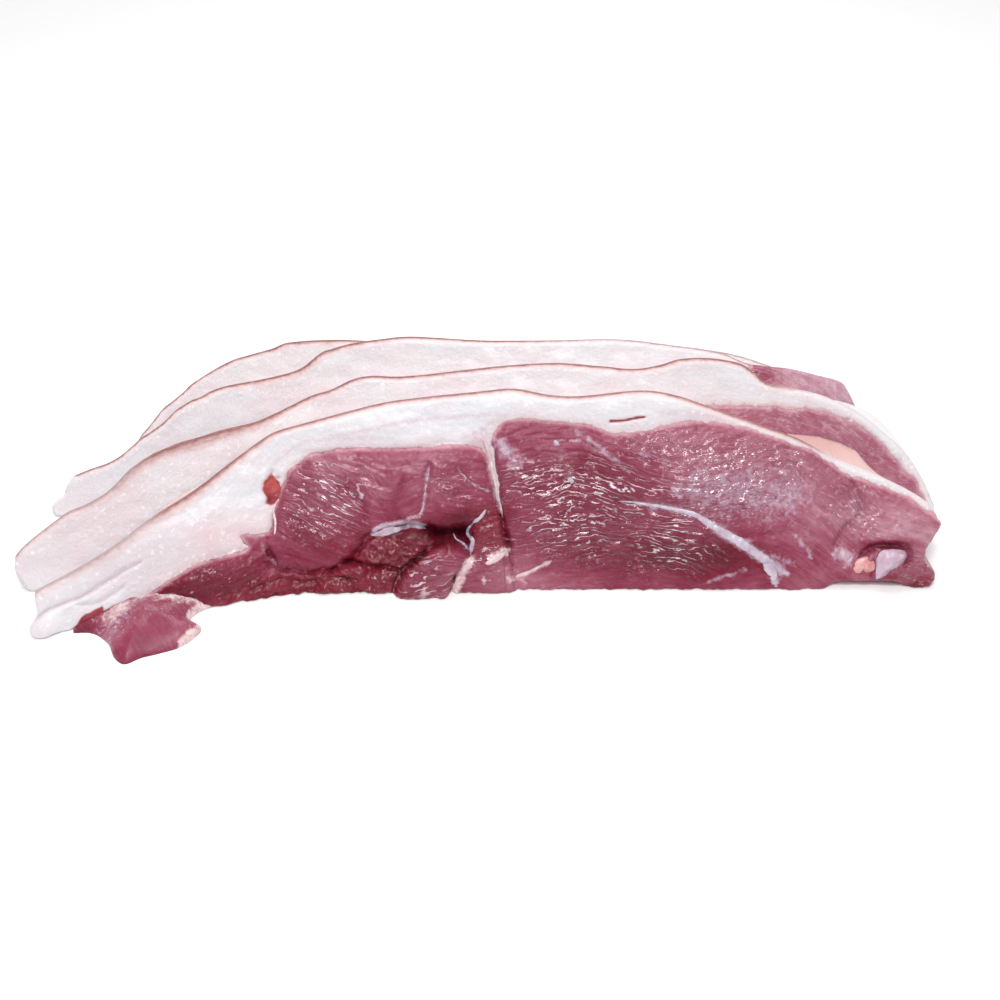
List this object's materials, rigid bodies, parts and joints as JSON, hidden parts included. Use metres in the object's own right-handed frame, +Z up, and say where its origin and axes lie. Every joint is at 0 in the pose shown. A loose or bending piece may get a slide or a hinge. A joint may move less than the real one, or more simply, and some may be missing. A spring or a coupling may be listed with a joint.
{
  "type": "sliced pork shoulder",
  "caption": "Raw skin-on pork shoulder in thick slices that lean back on one another, white fat and thin rind above dark pink lean on the front cut face.",
  "frame": {"origin": "middle of the underside, where the slices stand", "axes": "+X along the slices to the right as the front cut face is seen, +Y from the front cut face towards the last slice, +Z up"},
  "size_m": [0.351, 0.1468, 0.0613],
  "materials": {
    "fat": "moist pinkish white back fat with a thin tan rind along its upper edge",
    "lean": "wet dark pink muscle with fibres and pale membranes",
    "cartilage": "smooth pale lilac cartilage"
  },
  "bodies": {
    "root": {"slice_1_fat": "fat", "slice_1_lean_left": "lean", "slice_1_lean_right": "lean", "slice_1_cartilage": "cartilage", "slice_1_flap": "lean", "slice_2_fat": "fat", "slice_2_lean": "lean", "slice_3_fat": "fat", "slice_3_lean": "lean", "slice_4_fat": "fat", "slice_4_lean": "lean"}
  },
  "joints": []
}
